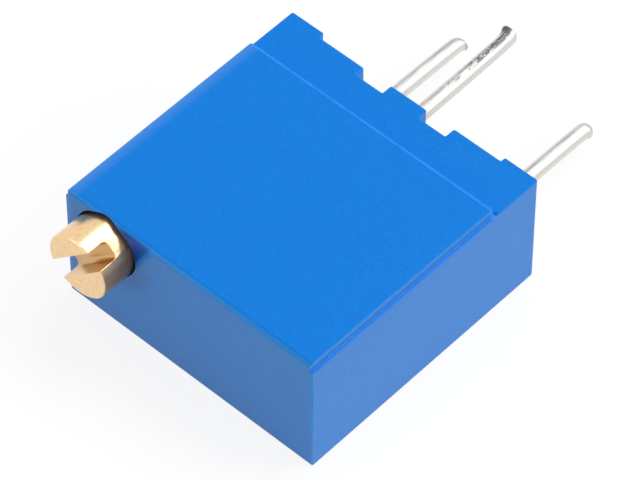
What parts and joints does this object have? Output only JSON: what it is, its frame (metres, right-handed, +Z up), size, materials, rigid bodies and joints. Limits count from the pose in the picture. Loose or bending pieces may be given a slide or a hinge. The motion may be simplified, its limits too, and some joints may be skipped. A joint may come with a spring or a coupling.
{
  "type": "trimmer potentiometer",
  "caption": "Square multi-turn trimmer potentiometer: moulded body with a raised panel, slotted brass screw in the front face and zigzag board pins behind.",
  "frame": {"origin": "centre of the body's resting face", "axes": "+X across the screw face, +Y from the screw face to the pins, +Z up through the thickness to the raised panel"},
  "size_m": [0.0096, 0.0155, 0.0045],
  "materials": {
    "blue_moulding": "moulded, fine satin",
    "header_moulding": "moulded, matt",
    "sealing_resin": "poured resin, glossy",
    "alumina": "fired alumina, fine matt",
    "cermet": "fired cermet film, satin",
    "silver_film": "fired silver alloy film",
    "glass_film": "fired green glass",
    "tinned_copper": "bright tin over copper",
    "solder": "smooth solder",
    "brass": "turned, bright",
    "silicone": "moulded silicone",
    "phosphor_bronze": "stamped, rolled",
    "ivory_moulding": "moulded, low friction",
    "contact_alloy": "stamped precious alloy"
  },
  "bodies": {
    "body": {"housing": "blue_moulding", "base": "header_moulding", "epoxy_seal": "sealing_resin", "substrate": "alumina", "resistive_track": "cermet", "collector_track": "silver_film", "conductor_1": "silver_film", "conductor_3": "silver_film", "solder_stop": "glass_film", "pin_1": "tinned_copper", "pin_2": "tinned_copper", "pin_3": "tinned_copper", "solder_joint_1": "solder", "solder_joint_2": "solder", "solder_joint_3": "solder", "retaining_clip": "phosphor_bronze"},
    "screw": {"adjusting_screw": "brass", "o_ring": "silicone"},
    "carriage": {"slider": "ivory_moulding", "wiper": "contact_alloy"}
  },
  "joints": [
    {"name": "carriage_slide", "type": "slide", "parent": "body", "child": "carriage", "axis": [0, -1, 0], "range_m": [-0.0022, 0.0022]},
    {"name": "screw_turn", "type": "hinge", "parent": "body", "child": "screw", "pos_m": [-0.00324, 0, 0.00327], "axis": [0, 1, 0], "range_deg": [-3960, 3960]}
  ],
  "couplings": [
    {"joint": "screw_turn", "follows": "carriage_slide", "rad_per_m": 31416}
  ]
}
